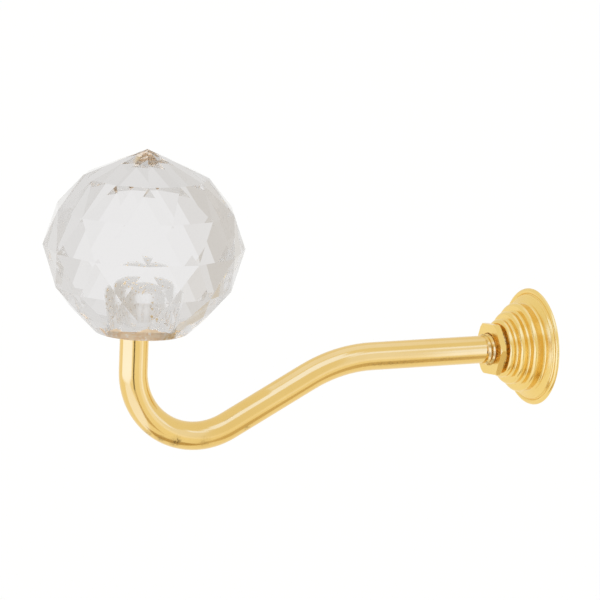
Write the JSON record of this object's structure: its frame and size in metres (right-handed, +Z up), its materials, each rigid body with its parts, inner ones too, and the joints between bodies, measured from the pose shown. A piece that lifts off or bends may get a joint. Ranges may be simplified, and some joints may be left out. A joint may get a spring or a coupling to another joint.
{
  "type": "curtain holdback",
  "caption": "Curtain holdback: a faceted clear crystal ball on a bent brass rod, screwed into a stepped turned wall rose with a lock nut.",
  "frame": {"origin": "centre of the rose's wall face, at the mouth of the stud hole", "axes": "+Y into the wall along the stud hole, +Z up, +X to the right of someone who faces the wall"},
  "size_m": [0.0492, 0.135, 0.0772],
  "materials": {
    "crystal": "cut and polished, with a frosted bore",
    "cement": "set clear cement, slightly yellowed",
    "rod_brass": "polished, with light tarnish in the outer bend",
    "nut_brass": "machined and polished",
    "rose_brass": "turned and polished"
  },
  "bodies": {
    "root": {"crystal_ball": "crystal", "ball_cement": "cement", "arm_rod": "rod_brass", "lock_nut": "nut_brass", "wall_rose": "rose_brass"}
  },
  "joints": []
}
